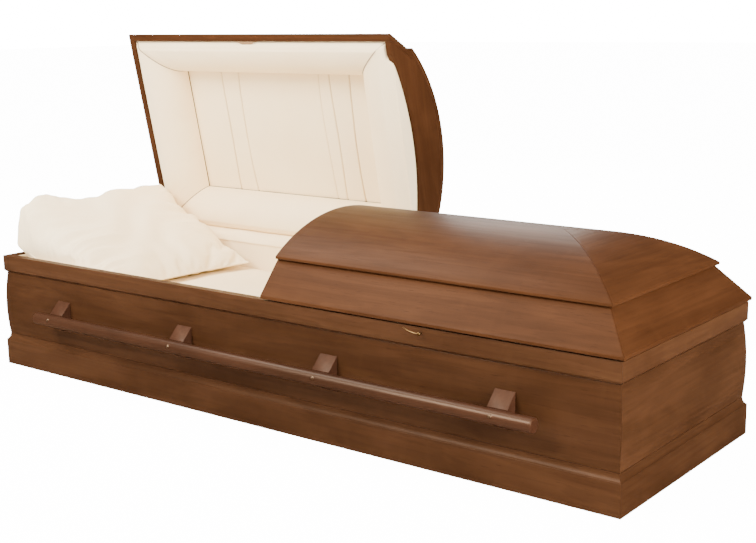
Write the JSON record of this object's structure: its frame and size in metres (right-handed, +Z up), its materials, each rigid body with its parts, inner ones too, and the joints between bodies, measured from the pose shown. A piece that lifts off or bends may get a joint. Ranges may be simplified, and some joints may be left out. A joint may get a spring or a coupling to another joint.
{
  "type": "half-couch wooden casket",
  "caption": "Stained wooden coffin with a split hinged lid, head half open, long rod handles on wedge brackets, ivory cloth lining, mattress and pillow.",
  "frame": {"origin": "middle of the footprint on the floor, on the underside of the floor board", "axes": "+X runs along the coffin from head to foot, +Y to the hinged back side, +Z up; the head lid is stored open on its stop and the foot lid shut"},
  "size_m": [2.102, 0.8655, 0.9882],
  "materials": {
    "body_wood": "satin walnut stain",
    "lid_wood": "satin walnut stain",
    "handle_wood": "satin walnut stain",
    "lining_cloth": "ivory crepe with a soft sheen",
    "mattress_cloth": "ivory cloth",
    "pillow_cloth": "ivory cloth with a soft sheen",
    "hinge_metal": "dull brass-plated steel",
    "catch_brass": "polished brass"
  },
  "bodies": {
    "casket": {"bracket_back_1": "handle_wood", "bracket_back_2": "handle_wood", "bracket_back_3": "handle_wood", "bracket_back_4": "handle_wood", "bracket_front_1": "handle_wood", "bracket_front_2": "handle_wood", "bracket_front_3": "handle_wood", "bracket_front_4": "handle_wood", "catch_screw": "catch_brass", "floor_board": "body_wood", "foot_hinge_rail_leaf": "hinge_metal", "handle_rod_back": "handle_wood", "handle_rod_front": "handle_wood", "head_hinge_rail_leaf": "hinge_metal", "lining_back": "lining_cloth", "lining_foot": "lining_cloth", "lining_front": "lining_cloth", "lining_head": "lining_cloth", "mattress": "mattress_cloth", "pillow": "pillow_cloth", "plinth_back": "body_wood", "plinth_foot": "body_wood", "plinth_front": "body_wood", "plinth_head": "body_wood", "rail_back": "body_wood", "rail_foot": "body_wood", "rail_front": "body_wood", "rail_head": "body_wood", "side_back": "body_wood", "side_foot": "body_wood", "side_front": "body_wood", "side_head": "body_wood"},
    "head_lid": {"finger_tab": "lid_wood", "head_hinge_lid_leaf": "hinge_metal", "head_lid_crown": "lid_wood", "head_lid_crown_end": "lid_wood", "head_lid_header": "lid_wood", "head_lid_panel": "lining_cloth", "head_lid_roll_back": "lining_cloth", "head_lid_roll_end": "lining_cloth", "head_lid_roll_front": "lining_cloth", "head_lid_roll_split": "lining_cloth", "head_lid_skirt_back": "lid_wood", "head_lid_skirt_end": "lid_wood", "head_lid_skirt_front": "lid_wood"},
    "foot_lid": {"foot_hinge_lid_leaf": "hinge_metal", "foot_lid_crown": "lid_wood", "foot_lid_crown_end": "lid_wood", "foot_lid_header": "lid_wood", "foot_lid_panel": "lining_cloth", "foot_lid_roll_back": "lining_cloth", "foot_lid_roll_end": "lining_cloth", "foot_lid_roll_front": "lining_cloth", "foot_lid_roll_split": "lining_cloth", "foot_lid_skirt_back": "lid_wood", "foot_lid_skirt_end": "lid_wood", "foot_lid_skirt_front": "lid_wood"},
    "catch_hook": {"catch_hook": "catch_brass"}
  },
  "joints": [
    {"name": "head_lid_hinge", "type": "hinge", "parent": "casket", "child": "head_lid", "pos_m": [0, 0.328, 0.333], "axis": [-1, 0, 0], "range_deg": [-79.1, 0], "deforming": ["pillow"]},
    {"name": "foot_lid_hinge", "type": "hinge", "parent": "casket", "child": "foot_lid", "pos_m": [0, 0.328, 0.333], "axis": [-1, 0, 0], "range_deg": [0, 79.1]},
    {"name": "catch_hook_pivot", "type": "hinge", "parent": "casket", "child": "catch_hook", "pos_m": [0.536, -0.3399, 0.3245], "axis": [0, 1, 0], "range_deg": [0, 100]}
  ]
}
